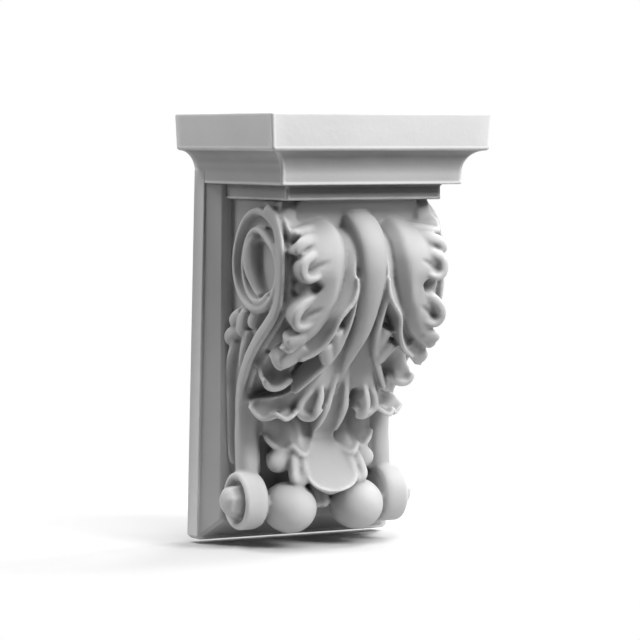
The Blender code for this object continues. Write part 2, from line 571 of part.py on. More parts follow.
# Creases and channels, pressed in to the same form
FLUTES = [
    ([(9.6, 118, 73), (9.8, 130, 60), (10.2, 133, 45), (10.2, 132, 28), (8.6, 126, 12), (7, 117, -2),
      (5, 104, -14)], 2, [3, 5, 6, 6, 5, 4, 1], (0, -1, 0)),
    ([(36, 139, 49.5), (43, 139, 47), (49.5, 137, 43)], [2, 3, 3.2], [0.4, 2.8, 3.4], (-0.1, -1, 0)),
    ([(39, 132, 17.5), (45, 131.5, 14.5), (51.5, 129, 10.5)], [2, 3, 3.2], [0.6, 2.8, 3.4], (-0.1, -1, 0)),
    ([(56, 116, 72), (56, 121, 60), (56, 122, 46), (56, 121, 31), (56, 117, 20), (56, 110, 11),
      (55.5, 98, 1), (55, 87, -7), (54.5, 75, -18), (54, 65, -29), (54, 58, -39)], 3.4,
      [1.5, 3.2, 3.6, 3.8, 4, 4.2, 4.4, 4.2, 4, 3, 1], (0, -1, 0)),
]


def leaf_half(side):
    """Lobes, fingers and dished fingers of one side."""
    parts = [sheet(name, side=side, **lobe) for name, lobe in LOBES.items()]
    for name, finger in FINGERS.items():
        parts.append(petal(name, *finger, side=side, count=40, around=22))
    for name, finger in SPOONS.items():
        parts.append(spoon(name, *finger, side=side))
    return parts


def leaf_middle():
    """Rib, stem, curling tip, the bud behind it, and the body they lie on."""
    rib = [(0, 96, 80), (0, 108, 81.5), (0, 121, 75), (0, 131, 62), (0, 134.5, 47), (0, 133.5, 32),
           (0, 128, 16), (0, 118.5, 1), (0, 105, -12), (0, 92, -25), (0, 84, -36), (0, 78, -46)]
    rib_width = [8.5, 11.5, 12, 11.2, 9.8, 9.0, 8, 6.6, 5.0, 2.8, 1.6, 1.0]
    rib_rise = [4, 5.5, 6.5, 7, 6.5, 6.5, 6.5, 6, 4.5, 3.2, 2, 0.5]
    stem = [(0, 93, -20), (0, 84, -35), (0, 77.5, -45), (0, 71.5, -55), (0, 65.5, -64), (0, 61, -71),
            (0, 60, -77)]
    tongue = [(0, 58, -63), (0, 59.5, -73), (0, 63.5, -81.5), (0, 69, -90), (0, 75.5, -98.5),
              (0, 81.5, -106.5), (0, 85.5, -114)]
    core = [(0, 76, 97), (0, 82, 87), (0, 98, 76), (0, 110, 62), (0, 115, 46), (0, 113, 28), (0, 104, 12),
            (0, 91, -5), (0, 75, -20), (0, 60, -34), (0, 48, -50), (0, 42, -66), (0, 40, -95), (0, 40, -120)]
    core_width = [56, 56, 54, 53, 53, 53, 53, 53, 52, 50, 48, 46, 44, 40]
    return [
        petal("rib", rib, rib_width, rib_rise, 18, root=True, tip=False, count=60, around=24),
        petal("stem", stem, [5, 6.5, 7.5, 8.5, 8.5, 8.8, 9], 0.8, 22, 0.8, tip=False),
        spoon("tongue", tongue, [6.6, 6.4, 9.6, 14.8, 19.2, 20.8, 16.5], 9, [0.5, 1, 2, 3.2, 4.2, 4.6, 4.4],
              (0, 0.88, 0.47), 1.7, count=54, blunt=0.8),
        petal("neck of tongue", [(0, 52, -62), (0, 50, -80), (0, 48, -98)], 13, 3, 10, tip=False),
        petal("bud", [(0, 44, -100), (0, 52, -116), (0, 55, -130)], [4, 5.5, 4.5], 4, 6),
        petal("body", core, core_width, 3, 38, face=(0, 1, 0), around=40, count=50, tip=False)]


def bracket():
    """Web, scrolls and leaf fused into one carved body and stretched to the real sizes."""
    rings = [[(x, f, z) for f, z in WEB] for x in (-WEB_HALF_WIDTH, WEB_HALF_WIDTH)]
    parts = [loft("web", rings)] + leaf_middle()
    for side in (-1, 1):
        parts += volute(side) + strap(side) + foot(side) + leaf_half(side)
    body = joined(parts, "bracket")
    fuse(body, 1)
    carve(body, HOLES, sunk=True)
    carve(body, FLUTES, sunk=False)
    fuse(body, 2, CARVED_FACES)
    for v in body.data.vertices:
        v.co = [v.co[i] * STRETCH[i] for i in range(3)]
    return body


def add_to(body, other):
    """Union another body into the first and drop it."""
    joining = body.modifiers.new("join", "BOOLEAN")
    joining.operation = "UNION"
    joining.solver = "EXACT"
    joining.object = other
    applied(body)
    bpy.data.objects.remove(other)


for old in list(bpy.data.objects):
    bpy.data.objects.remove(old)

corbel = moulded_top()
add_to(corbel, wall_plate())
add_to(corbel, bracket())
corbel.name = "corbel"
corbel.data.name = "corbel"

plaster = bpy.data.materials.new("plaster")
plaster.use_nodes = True
surface = plaster.node_tree.nodes["Principled BSDF"]
surface.inputs["Base Color"].default_value = (0.80, 0.79, 0.77, 1.0)
surface.inputs["Roughness"].default_value = 0.6
corbel.data.materials.clear()
corbel.data.materials.append(plaster)

home = bpy.data.collections.new("corbel")
bpy.context.scene.collection.children.link(home)
for old_home in list(corbel.users_collection):
    old_home.objects.unlink(corbel)
home.objects.link(corbel)
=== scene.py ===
import math

import bmesh
import bpy
import numpy as np
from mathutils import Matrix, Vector
from mathutils.bvhtree import BVHTree


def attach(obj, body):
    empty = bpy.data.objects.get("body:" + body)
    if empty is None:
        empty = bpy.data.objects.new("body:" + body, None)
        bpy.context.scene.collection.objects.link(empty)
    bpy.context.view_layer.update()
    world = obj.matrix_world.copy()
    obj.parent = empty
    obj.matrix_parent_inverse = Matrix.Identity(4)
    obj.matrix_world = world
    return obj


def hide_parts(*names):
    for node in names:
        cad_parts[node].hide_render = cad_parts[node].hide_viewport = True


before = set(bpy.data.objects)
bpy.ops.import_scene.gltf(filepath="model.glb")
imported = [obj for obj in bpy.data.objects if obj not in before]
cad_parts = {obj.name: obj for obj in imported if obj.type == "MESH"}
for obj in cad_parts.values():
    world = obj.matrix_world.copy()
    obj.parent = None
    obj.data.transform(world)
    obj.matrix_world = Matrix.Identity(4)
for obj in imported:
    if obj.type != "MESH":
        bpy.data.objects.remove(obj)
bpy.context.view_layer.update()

# The camera stands to the left of the corbel, a little lower than its top, and
# looks down by a few degrees, as it did for the photograph.
camera_data = bpy.data.cameras.new("camera")
camera_data.lens = 171.34
camera_data.sensor_width = 36
camera = bpy.data.objects.new("camera", camera_data)
camera.location = (-1.00115, -1.93939, 0.13194)
camera.rotation_euler = (math.radians(90 - 3.40), 0, math.radians(-28))
bpy.context.scene.collection.objects.link(camera)
bpy.context.scene.camera = camera


# The top is a square block with a cove and a lip under it and a set-in band
# below, cast in plaster with the rest. Its mouldings go round three sides, and
# its back is flat for the wall.
MM = 0.001
HEIGHT = 300.0
TOP_WIDTH = 170.0
TOP_DEPTH = 149.0
FASCIA_HEIGHT = 25.0
FASCIA_LEAN = 1.2
TOP_EDGE_RADIUS = 1.5
EDGE_RADIUS = 2.5
COVE_INSET = 15.2
COVE_FOOT = 41.0
LIP_DROP = 49.0
BAND_SIDE_INSET = 25.0
BAND_FRONT_INSET = 27.5
BAND_FOOT = 59.5
TOP_CORNER_RADIUS = 2.0
HOLD_IN_PLATE = 1.5
END_POINT_REACH = 1.2
LONG_STRETCH_POINTS = 21


def add_object(name, bm):
    """Turn a bmesh into an object with its faces outward."""
    bmesh.ops.recalc_face_normals(bm, faces=bm.faces)
    mesh = bpy.data.meshes.new(name)
    bm.to_mesh(mesh)
    bm.free()
    obj = bpy.data.objects.new(name, mesh)
    bpy.context.scene.collection.objects.link(obj)
    return obj


def put(bm, side, point):
    """A vertex from across, forward and up in millimetres."""
    return bm.verts.new((side * point[0] * MM, -point[1] * MM, point[2] * MM))


def loft(name, rings, side=1):
    """Closed body through rings that have equally many points."""
    bm = bmesh.new()
    rows = [[put(bm, side, p) for p in ring] for ring in rings]
    n = len(rows[0])
    for a, b in zip(rows, rows[1:]):
        for i in range(n):
            bm.faces.new((a[i], a[(i + 1) % n], b[(i + 1) % n], b[i]))
    bm.faces.new(rows[0][::-1])
    bm.faces.new(rows[-1])
    return add_object(name, bm)


def level_outline(inset_side, inset_front, height):
    """The top cut level: flat at the wall, rounded at the front corners, inside the plate further down."""
    half = TOP_WIDTH / 2 - inset_side
    depth = TOP_DEPTH - inset_front
    radius, steps = TOP_CORNER_RADIUS, 6
    back = 0.0 if height > HEIGHT / 2 - COVE_FOOT + 0.1 else HOLD_IN_PLATE
    out = [(-half, back, height)]
    for side in (-1, 1):
        for i in range(steps + 1):
            a = math.pi / 2 * i / steps
            across = half - radius + radius * (math.cos(a) if side < 0 else math.sin(a))
            forward = depth - radius + radius * (math.sin(a) if side < 0 else math.cos(a))
            out.append((side * across, forward, height))
    out.append((half, back, height))
    return out


def with_ends(line):
    """The line with points close to the ends of each stretch, and all along the longest ones."""
    out = [line[0]]
    for p, q in zip(line, line[1:]):
        share = END_POINT_REACH / math.dist(p, q)
        if share < 0.3:
            count = LONG_STRETCH_POINTS if share < 0.03 else 2
            for t in np.linspace(share, 1 - share, count):
                out.append(tuple(float(a + (b - a) * t) for a, b in zip(p, q)))
        out.append(q)
    return out


def moulded_top():
    """Fascia, cove, lip and the set-in band below, lofted level by level."""
    top = HEIGHT / 2
    profile = []
    for i in range(7):
        a = math.pi / 12 * i
        profile.append((TOP_EDGE_RADIUS * (1 - math.sin(a)), top - TOP_EDGE_RADIUS * (1 - math.cos(a))))
    foot = top - FASCIA_HEIGHT
    for i in range(6):
        a = math.pi / 12 * i
        inset = FASCIA_LEAN + EDGE_RADIUS * (1 - math.cos(a))
        profile.append((inset, foot + EDGE_RADIUS * (1 - math.sin(a)) - 1))
    start_inset, start_height = profile[-1]
    steps = 20
    for i in range(1, steps + 1):
        a = math.pi / 2 * i / steps
        inset = start_inset + (COVE_INSET - start_inset) * math.sin(a)
        drop = (start_height - (top - COVE_FOOT)) * (1 - math.cos(a))
        profile.append((inset, start_height - drop))
    lip = ((0.1, 2.4), (0, 1.6), (0, 0.9), (0.2, 0.4), (0.6, 0.1), (1.2, 0), (2.4, 0))
    for more, rise in lip:
        profile.append((COVE_INSET + more, top - LIP_DROP + rise))
    rings = [level_outline(i, i, z) for i, z in with_ends(profile)]
    band = ((-2.4, LIP_DROP), (-1.0, LIP_DROP + 0.3), (-0.3, LIP_DROP + 1.0), (0, LIP_DROP + 2.2),
            (0, BAND_FOOT - 2.2), (-0.3, BAND_FOOT - 1.5), (-0.3, BAND_FOOT - 0.9), (0, BAND_FOOT - 0.4),
            (0.5, BAND_FOOT), (2, BAND_FOOT))
    for more, drop in with_ends(band):
        rings.append(level_outline(BAND_SIDE_INSET + more, BAND_FRONT_INSET + more, top - drop))
    return loft("corbel_top", [with_ends(ring) for ring in rings])


def plaster(name, low, high):
    """Dull cast plaster: a cloudy tone between two greys, a fine grain and faint unevenness, its colour
    multiplied by painted light and shade stored on each point.
    """
    mat = bpy.data.materials.new(name)
    mat.use_nodes = True
    nodes, links = mat.node_tree.nodes, mat.node_tree.links
    shader = nodes["Principled BSDF"]
    shader.inputs["Specular IOR Level"].default_value = 0.35
    place = nodes.new("ShaderNodeTexCoord")

    def noise(scale, detail, rough=0.5):
        tex = nodes.new("ShaderNodeTexNoise")
        tex.inputs["Scale"].default_value = scale
        tex.inputs["Detail"].default_value = detail
        tex.inputs["Roughness"].default_value = rough
        links.new(place.outputs["Object"], tex.inputs["Vector"])
        return tex.outputs["Fac"]

    def ramp(value, first, last):
        step = nodes.new("ShaderNodeValToRGB")
        step.color_ramp.elements[0].position = 0.35
        step.color_ramp.elements[1].position = 0.65
        step.color_ramp.elements[0].color = (*first, 1)
        step.color_ramp.elements[1].color = (*last, 1)
        links.new(value, step.inputs["Fac"])
        return step.outputs["Color"]

    # The base colour is multiplied by the painted highlight and painted shade stored on each point.
    painted_light_and_shade = nodes.new("ShaderNodeAttribute")
    painted_light_and_shade.attribute_name = "painted_light_and_shade"
    toned = nodes.new("ShaderNodeMix")
    toned.data_type = "RGBA"
    toned.blend_type = "MULTIPLY"
    toned.inputs[0].default_value = 1.0
    links.new(ramp(noise(14, 4), low, high), toned.inputs[6])
    links.new(painted_light_and_shade.outputs["Color"], toned.inputs[7])
    links.new(toned.outputs[2], shader.inputs["Base Color"])
    links.new(ramp(noise(60, 3), (0.56, 0.56, 0.56), (0.74, 0.74, 0.74)), shader.inputs["Roughness"])
    grain = nodes.new("ShaderNodeBump")
    grain.inputs["Strength"].default_value = 0.18
    grain.inputs["Distance"].default_value = 0.0006
    links.new(noise(420, 5, 0.6), grain.inputs["Height"])
    waves = nodes.new("ShaderNodeBump")
    waves.inputs["Strength"].default_value = 0.25
    waves.inputs["Distance"].default_value = 0.0010
    links.new(noise(70, 2), waves.inputs["Height"])
    links.new(grain.outputs["Normal"], waves.inputs["Normal"])
    links.new(waves.outputs["Normal"], shader.inputs["Normal"])
    return mat


# One plaster in two copies: the top's colour is painted lighter, as painted light, and the plate's and
# bracket's colour darker, as painted shade.
TOP_PLASTER_PAINTED_LIGHTER = plaster("top plaster painted lighter", (0.575, 0.575, 0.575), (0.615, 0.615, 0.615))
LOWER_PLASTER_PAINTED_DARKER = plaster("lower plaster painted darker", (0.405, 0.405, 0.405), (0.440, 0.440, 0.440))


def finish_piece(piece, material, smooth):
    """Plaster on a finished piece, which is part of the one casting."""
    piece.data.materials.clear()
    piece.data.materials.append(material)
    if smooth:
        piece.data.shade_smooth()
    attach(piece, "root")
    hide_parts("corbel")


top = moulded_top()
finish_piece(top, TOP_PLASTER_PAINTED_LIGHTER, False)


# The plate is the flat slab that lies on the wall, wider at its foot, with a
# raised and bevelled field that carries the bracket.
PLATE_TOP_HALF_WIDTH = 70.0
PLATE_FOOT_HALF_WIDTH = 76.5
PLATE_TOP_DROP = 40.0
PLATE_EDGE = 15.6
PLATE_THICKNESS = 30.0
PLATE_BEVEL_SIDE = 11.0
PLATE_BEVEL_FOOT = 14.0
PLATE_CORNER = 2.5


def wall_plate():
    """Tapered plate with a flat back, an edge and a raised, bevelled field."""
    def outline(forward, side_in, foot_in):
        wide, low = PLATE_FOOT_HALF_WIDTH - side_in, -HEIGHT / 2 + foot_in
        narrow = PLATE_TOP_HALF_WIDTH - side_in * 0.6
        c = PLATE_CORNER
        right = [(narrow, forward, HEIGHT / 2 - PLATE_TOP_DROP), (wide, forward, low + c),
                 (wide - c, forward, low)]
        return right + [(-x, f, z) for x, f, z in reversed(right)]
    rings = [outline(0, 0, 0), outline(PLATE_EDGE - 0.6, 0, 0), outline(PLATE_EDGE, 0.5, 0.5),
             outline(PLATE_EDGE, 2.0, 2.2),
             outline(PLATE_THICKNESS - 0.5, PLATE_BEVEL_SIDE, PLATE_BEVEL_FOOT - 0.5),
             outline(PLATE_THICKNESS, PLATE_BEVEL_SIDE + 1, PLATE_BEVEL_FOOT + 0.7)]
    return loft("corbel_plate", [with_ends(ring) for ring in rings])


plate = wall_plate()
finish_piece(plate, LOWER_PLASTER_PAINTED_DARKER, False)


# The bracket is a web that hangs from the top and thins towards its foot, with
# the swelling body of the leaf in front of it. All of it is modelled in clay
# forms that overlap, and is then fused into one skin, as a cast is.
WEB_HALF_WIDTH = 56
WEB = [(18, 97), (97, 97), (97, 90), (101, 80), (107, 70), (111, 56), (112, 42), (110, 28), (106, 17),
       (99, 8), (86, -1), (75, -10), (63, -23), (54, -35), (45, -50), (41, -62), (40, -125), (18, -128)]


def through(points, count):
    """Points of an even curve through the given ones."""
    p = np.asarray(points, float)
    if p.ndim == 1:
        p = p[:, None]
    last = len(p) - 1
    ends = np.vstack([2 * p[0] - p[1], p, 2 * p[-1] - p[-2]])
    out = []
    for t in np.linspace(0, last, count):
        i = min(int(t), last - 1)
        u = t - i
        a, b, c, d = ends[i:i + 4]
        bend = (2 * a - 5 * b + 4 * c - d) * u * u + (3 * b - a - 3 * c + d) * u ** 3
        out.append(0.5 * (2 * b + (c - a) * u + bend))
    return np.array(out)


def spread(value, count):
    """One value, or several spread evenly, as count values."""
    if np.isscalar(value):
        return np.full(count, float(value))
    return through(value, count)[:, 0]


def rounding(share):
    """How far a round end has opened at a share of its length."""
    q = 1 - min(share, 1.0)
    return max(math.sqrt(max(1 - q * q, 0.0)), 0.06)


def leaf_face(height):
    """The way the leaf faces at a height: its front falls away below."""
    heights = [-90, -72, -55, -38, -22, -5, 12, 30, 48, 64, 80, 92]
    fronts = [64, 65, 73, 84, 97, 111, 122, 130, 132, 127, 112, 104]
    above = np.interp(height + 6, heights, fronts)
    below = np.interp(height - 6, heights, fronts)
    out = np.array([0.0, 1.0, -(above - below) / 12])
    return out / np.linalg.norm(out)


def petal(name, points, widths, rise=4.0, sink=12.0, cup=0.0, lean=0.0, face=None, side=1,
          tip=True, root=False, count=26, around=20, blunt=0.3, end=None):
    """A finger of leaf swept along points, round on top and sunk below."""
    path = through(points, count)
    w, r, s = spread(widths, count), spread(rise, count), spread(sink, count)
    c, tilt = spread(cup, count), spread(lean, count)
    gone = np.concatenate([[0], np.cumsum(np.linalg.norm(np.diff(path, axis=0), axis=1))])
    half = around // 2
    rings = []
    for k in range(count):
        along = path[min(k + 1, count - 1)] - path[max(k - 1, 0)]
        along = along / np.linalg.norm(along)
        out = leaf_face(path[k][2]) if face is None else np.asarray(face, float)
        out = out - along * (out @ along)
        out = out / np.linalg.norm(out)
        across = np.cross(along, out)
        f = 1.0
        if tip:
            f = min(f, rounding((gone[-1] - gone[k]) / min(end or w[-1], gone[-1] / 2)))
        if root:
            f = min(f, rounding(gone[k] / min(w[0], gone[-1] / 2)))
        below = s[k] * (blunt + (1 - blunt) * f) / f
        ring = []
        for i in range(around):
            a = math.pi * i / half
            u = math.cos(a)
            v = r[k] * abs(math.sin(a)) ** 0.8 if i < half else -below * abs(math.sin(a))
            ring.append(path[k] + (across * u * w[k] + out * (v + c[k] * u * u + tilt[k] * u * w[k])) * f)
        rings.append(ring)
    return loft(name, rings, side)


clay = [loft("web", [[(x, f, z) for f, z in WEB] for x in (-WEB_HALF_WIDTH, WEB_HALF_WIDTH)])]


# Each side has a volute that winds in almost two turns to a comma-shaped eye.
# Its outer edge is a rounded rim, and the channel falls away inside it.
VOLUTE_MIDDLE = (80, 42)
VOLUTE_START = 52
VOLUTE_STEP = 45
VOLUTE_CHANNEL = 58.2
VOLUTE_RIM = 61.0
VOLUTE_RIM_INSET = 2.2
VOLUTE_REACH = (43, 42.5, 38, 35, 30.5, 29, 31, 34, 29.5, 30, 24.5, 21.2, 21.6, 24, 25)
VOLUTE_BAND = (4.5, 7, 7.5, 7.2, 6.5, 5.5, 5.5, 5.5, 5, 5, 4.4, 3.6, 3.2, 3, 3)


def volute(side):
    """A band that winds inward, hollow between its rims, round a comma-shaped eye."""
    steps = len(VOLUTE_REACH) - 1
    count = 60
    reach = through(VOLUTE_REACH, count)[:, 0]
    band = through(VOLUTE_BAND, count)[:, 0]
    middle, rim = [], []
    for k in range(count):
        a = math.radians(VOLUTE_START + VOLUTE_STEP * steps * k / (count - 1))
        for line, r, x in ((middle, reach[k] - band[k], VOLUTE_CHANNEL),
                           (rim, reach[k] - VOLUTE_RIM_INSET, VOLUTE_RIM)):
            line.append((x, VOLUTE_MIDDLE[0] + r * math.cos(a), VOLUTE_MIDDLE[1] + r * math.sin(a)))
    eye = [(58.5, 78, 66.5), (60, 71.5, 61), (60.8, 69, 52), (60.8, 70.5, 43), (60.4, 75.5, 34.5),
           (59.8, 81, 28), (59.4, 86, 24.5)]
    return [
        petal("volute", middle, list(band), 0.6, 6, 2.6, [1.9 / b for b in band], (1, 0, 0), side,
              count=110),
        petal("volute rim", rim, [2.7] * 6 + [2.2] * 4, 2.6, 6, face=(1, 0, 0), side=side, count=110,
              around=14),
        petal("volute eye", eye, [1.4, 4.2, 6.2, 5.8, 4.2, 2.8, 1.6], 3.6, 8, lean=0.2, face=(1, 0, 0),
              side=side, root=True)]


for side in (-1, 1):
    clay += volute(side)


# From the volute a strap with two raised edges runs down the front of the web
# to a rolled foot with a faceted hub at its side and a ball beside it.
STRAP = [(98, 86), (108, 80), (114.5, 71), (118, 60), (119, 46), (118, 31), (114.5, 20), (107.5, 11),
         (95.5, 1.5), (84.5, -6.5), (73, -17.5), (63.5, -29), (56.5, -38.5), (51.5, -50), (49.5, -62),
         (48.5, -76), (49.5, -92), (50, -102)]
ROLL_RADIUS = 20.4
ROLL_FORWARD = 50.9
ROLL_HEIGHT = 30.5
ROLL_INNER = 48.5
ROLL_OUTER = 64.3
ROLL_DISH = 5.3
HUB_RADIUS = 11.6
HUB_REACH = 74.2
BALL_PLACE = (26.5, 60.5, -124.8)
BALL_HALF_SIZE = (18.5, 22.0, 18.2)


def egg(name, centre, half, side=1):
    """A ball stretched along its three axes."""
    bm = bmesh.new()
    bmesh.ops.create_uvsphere(bm, u_segments=32, v_segments=20, radius=1.0)
    for v in bm.verts:
        x, f, z = (v.co[i] * half[i] + centre[i] for i in range(3))
        v.co = (side * x * MM, -f * MM, z * MM)
    return add_object(name, bm)


def turned(name, profile, centre, side=1, around=48, start=0.0):
    """A body turned about an axis that runs across: (place, radius) pairs."""
    rings = []
    for x, r in profile:
        ring = []
        for i in range(around):
            a = 2 * math.pi * i / around + start
            ring.append((x, centre[0] + r * math.cos(a), centre[1] + r * math.sin(a)))
        rings.append(ring)
    return loft(name, rings, side)


def strap(side):
    """The strap with its head, its flat face and two raised edges, which fade towards the roll."""
    middles = [56] * 11 + [55.5, 54.6, 53.4] + [52.5] * 4
    swell = [1.0] * 11 + [1.6, 3.6, 5.6, 7.0, 7.6, 7.8, 7.8]
    bed = [(x, f - 3.4, z) for x, (f, z) in zip(middles, STRAP)]
    flat = [(x - 4.4, f - 1.4, z) for x, (f, z) in zip(middles, STRAP)]
    head = [(53.5, 111, 72), (52.5, 108.5, 83), (51, 107, 93)]
    parts = [petal("strap", bed, [7.8] * 12 + [7.7] * 6, swell, 9, side=side, count=64, tip=False),
             petal("strap head", head, [6, 6, 5], 3, 14, face=(0, 1, 0), side=side),
             petal("strap face", flat, 5.4, 1.6, 9, side=side, count=64, tip=False)]
    for shift, width, rise in ((6.0, 2.2, 3.0), (0.2, 1.9, 2.6)):
        edge = [(x + shift, f - 0.3, z) for x, (f, z) in zip(middles, STRAP)]
        fading = [rise] * 12 + [rise * 0.8, rise * 0.5, rise * 0.25, 0.3, 0.3, 0.3]
        widths = [width] * 13 + [2.0, 1.7, 1.4, 1.0, 1.0]
        parts.append(petal("strap edge", edge, widths, fading, 7, side=side, count=64, tip=False))
    return parts


def foot(side):
    """Roll with a faceted hub where the strap ends, and the ball beside it."""
    r = ROLL_RADIUS
    middle = (ROLL_FORWARD, ROLL_HEIGHT - HEIGHT / 2)
    rim = [(ROLL_INNER - 4, r * 0.6), (ROLL_INNER - 2.6, r * 0.8), (ROLL_INNER - 0.6, r * 0.93),
           (ROLL_INNER + 2, r * 0.985), (ROLL_INNER + 4.5, r), (ROLL_OUTER - 2.3, r),
           (ROLL_OUTER - 0.7, r - 0.7), (ROLL_OUTER, r - 2.2), (ROLL_OUTER - 0.2, r - 4.0),
           (ROLL_OUTER - 1.7, r - 5.2), (ROLL_OUTER - ROLL_DISH, r - 5.8)]
    h = HUB_RADIUS
    hub = [(ROLL_OUTER - 7.3, h), (HUB_REACH - 9, h), (HUB_REACH - 4, h * 0.88), (HUB_REACH - 1.2, h * 0.6),
           (HUB_REACH, h * 0.26)]
    return [turned("roll", rim, middle, side), turned("hub", hub, middle, side, around=7, start=0.3),
            egg("strap foot", (55.5, 50, -103), (8.0, 8.6, 4.4), side),
            egg("ball", BALL_PLACE, BALL_HALF_SIZE, side)]


for side in (-1, 1):
    clay += strap(side) + foot(side)


# The acanthus leaf covers the front. Each half has two long lobes that fold
# over, a skirt and a lower skirt, and hooked and dished fingers on their edges.
LOBES = {
    "first lobe": dict(
        rows=[
            [(19.5, 95, 76), (26, 95, 78.5), (36, 95, 78), (46, 94, 76)],
            [(18.5, 111, 73), (26, 113.5, 77), (36, 112, 76), (47, 110, 73)],
            [(18, 123.5, 65), (26, 128.5, 69), (38, 127, 68), (52, 122, 66)],
            [(18.5, 129.5, 55), (26, 136, 57), (40, 135, 57), (54, 129.5, 57)],
            [(20, 130.5, 43), (27.5, 138, 45), (39, 137.5, 43.5), (54, 133, 42)],
            [(22.5, 130, 32), (28.5, 137, 33), (34.5, 136.5, 33.5), (39.5, 135, 34)],
            [(26, 128, 20), (31, 134.5, 22), (37, 134, 24), (44, 130.5, 25)],
            [(30.5, 125, 10), (37, 130.5, 12), (44, 129.5, 13), (54, 125, 14)],
            [(36.5, 121.5, 0.5), (42, 126, 2.5), (48, 125.5, 4), (53, 123, 6)],
            [(44.5, 118.5, -6.5), (49, 121.5, -5.5), (53, 120.5, -5), (56, 118, -4)],
            [(54, 117, -13), (56, 118, -12), (58, 117.5, -11), (60, 116, -9.5)]],
        depth=[18, 22, 26, 27, 27, 26, 24, 20, 16, 12, 8], inward=(-0.05, -1, 0), along=60, across=40),
    "second lobe": dict(
        rows=[
            [(8, 92, 75), (15, 92, 76), (24, 91, 76)],
            [(9.2, 109, 72), (16, 107, 73), (24, 103, 73)],
            [(10, 124.5, 64), (16, 122, 64), (25, 115, 63)],
            [(10.8, 132, 50), (17, 128, 50), (27, 118.5, 48)],
            [(11.6, 134, 34), (18, 128.5, 35), (29, 117, 34)],
            [(15, 133.5, 21), (22, 128, 21.5), (33, 116.5, 22)],
            [(23, 130, 10.5), (28.5, 124.5, 11.5), (38, 113, 12)],
            [(26.5, 123.5, -2), (32, 117, 0.5), (44, 108.5, 2)],
            [(34, 116.5, -12.5), (41, 110, -8.5), (50, 105.5, -5)],
            [(46.5, 109.5, -20), (51, 105.5, -14), (57, 101, -10)],
            [(55, 103, -26), (58, 101, -21), (59, 98, -15)]],
        depth=[14, 18, 24, 26, 26, 24, 18, 10, 9, 8, 8], inward=(-0.1, -1, 0.05), along=66, across=36),
    "neck": dict(
        rows=[
            [(24, 80, 91), (38, 80, 91), (52, 83, 91)],
            [(29, 90, 85), (43, 92, 85), (58, 97, 87)],
            [(33, 103, 78), (45, 108, 77), (59, 115.5, 79)],
            [(36, 112, 73), (46, 116.5, 71), (59.5, 122.5, 72)],
            [(39, 118, 69), (48, 120.5, 67.5), (58, 124.5, 66.5)]],
        depth=[12, 12, 12, 12, 10], inward=(0, -1, 0), along=26, across=26),
    "skirt": dict(
        rows=[
            [(2, 117, 4), (6, 118, 10), (8, 119, 16), (9.6, 120, 22), (10.4, 121, 26), (11, 123, 31)],
            [(2, 105, -8), (6, 106, -5), (8.5, 107.5, -2), (10, 109.5, 2), (11, 112, 6), (11.6, 115, 10)],
            [(2, 94.5, -19), (6.5, 95.5, -17.5), (10, 98, -15.5), (12, 101, -12.5), (13, 104.5, -9),
             (13.8, 108, -5.5)],
            [(3, 89, -28), (9, 91, -28.5), (14, 94, -28), (18, 96.5, -27), (21, 97.5, -25.5),
             (23.5, 97.5, -25)],
            [(4, 85.5, -35), (10, 89, -37.5), (16, 91.5, -40), (23, 91, -40), (31, 87.5, -40),
             (37, 83, -43)],
            [(5, 82, -41), (11, 87, -43.5), (17, 90, -46), (25, 86.5, -47), (34, 81, -48), (44, 76, -49),
             (53, 71, -47)],
            [(6, 78, -47), (12, 85, -50), (18, 88, -53), (26, 83.5, -53), (35, 79.5, -54), (45, 75, -55),
             (57, 69, -50)],
            [(7, 75, -51), (12, 82, -54), (18, 85, -58), (25, 82, -58), (30.3, 81.5, -55.2),
             (34.5, 83, -57.8), (39, 84, -60.6), (42, 82.5, -60.6), (46, 79.5, -58.2), (48.5, 75, -60.4),
             (52.5, 70, -61), (57.1, 68.2, -57.5), (59.8, 67, -53.3)]],
        depth=[30, 30, 30, 30, 30, 24, 12, 5], inward=(0, -1, 0), along=70, across=100,
        sag=[0, 0, 0, 0, 1.5, 3.6, 4.2, 0], bead=1.7,
        folds=[(0.82, 0.1, [2.5, 2.5, 2.5, 3, 2.5, 0, 0, 0]), (0.5, 0.055, [0, 0, 0, 0, 0.5, 2, 3, 1]),
               (0.66, 0.03, [0, 0, 0, 0, -0.3, -0.8, -0.8, -0.3]),
               (0.83, 0.08, [0, 0, 0, 0, 1, 2, 2, 0.5])]),
    "lower skirt": dict(
        rows=[
            [(3, 52, -57), (18, 52.5, -57), (30, 51, -57), (44, 50, -58)],
            [(4, 55, -68), (18, 61, -71), (29, 57.5, -71), (43, 53, -66)],
            [(5, 54, -79), (10.5, 58.5, -82), (13.5, 63, -86), (18, 67, -88), (22, 67.5, -86.5),
             (25.5, 64, -82.6), (29, 60.5, -84.6), (33, 59, -84.4), (36.5, 57, -82), (40.3, 55, -78),
             (43, 53, -73)]],
        depth=[16, 14, 6], inward=(0, -1, 0.15), along=36, across=66, sag=[0, 0.6, 1.6, 0], bead=2.1,
        folds=[(0.45, 0.05, [0, 1.5, 1.6, 0.8]), (0.72, 0.06, [0, 1, 1.2, 0.8]),
               (0.2, 0.07, [0, 1, 1, 0.4])]),
    "under lobe": dict(
        rows=[
            [(32, 88, -20), (41, 86, -16), (49, 84, -14), (55, 83, -15)],
            [(34, 84, -27), (42, 82.5, -25), (50, 82, -25), (57, 82, -22)],
            [(36.5, 84, -32), (41, 84, -35.5), (46, 84.5, -38.2), (51, 85.5, -39), (55.5, 84.5, -37.2),
             (59, 84.5, -31.5)]],
        depth=[18, 14, 6], inward=(0, -1, 0), along=30, across=44, sag=[0, 1.8, 2.6, 0], bead=2.5,
        folds=[(0.62, 0.16, [0, 1.5, 1.2])]),
}
